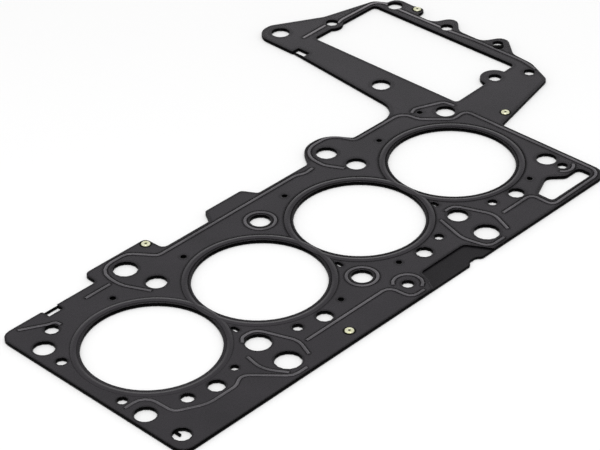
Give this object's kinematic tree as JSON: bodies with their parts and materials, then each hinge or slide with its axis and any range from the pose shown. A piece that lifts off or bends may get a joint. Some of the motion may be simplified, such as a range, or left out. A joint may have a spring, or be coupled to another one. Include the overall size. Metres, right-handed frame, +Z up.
{
  "type": "cylinder head gasket",
  "caption": "Flat cylinder head gasket of beaded coated steel sheets with round bores, bolt and coolant holes, and a side frame around a large window.",
  "frame": {"origin": "centre of the first cylinder bore, on the flat underside of the lower sheets", "axes": "+X along the row of cylinder bores towards the window frame, +Y across the row towards the edge that the window frame joins, +Z up out of the beaded top face"},
  "size_m": [0.4807, 0.3051, 0.0036],
  "materials": {
    "coated_steel": "satin",
    "rivet_brass": "satin"
  },
  "bodies": {
    "root": {"top_beaded_sheet": "coated_steel", "spacer_and_bottom_sheet": "coated_steel", "rivet_rear_tab": "rivet_brass", "rivet_front_edge": "rivet_brass", "rivet_frame_foot": "rivet_brass", "rivet_frame_lobe": "rivet_brass"}
  },
  "joints": []
}
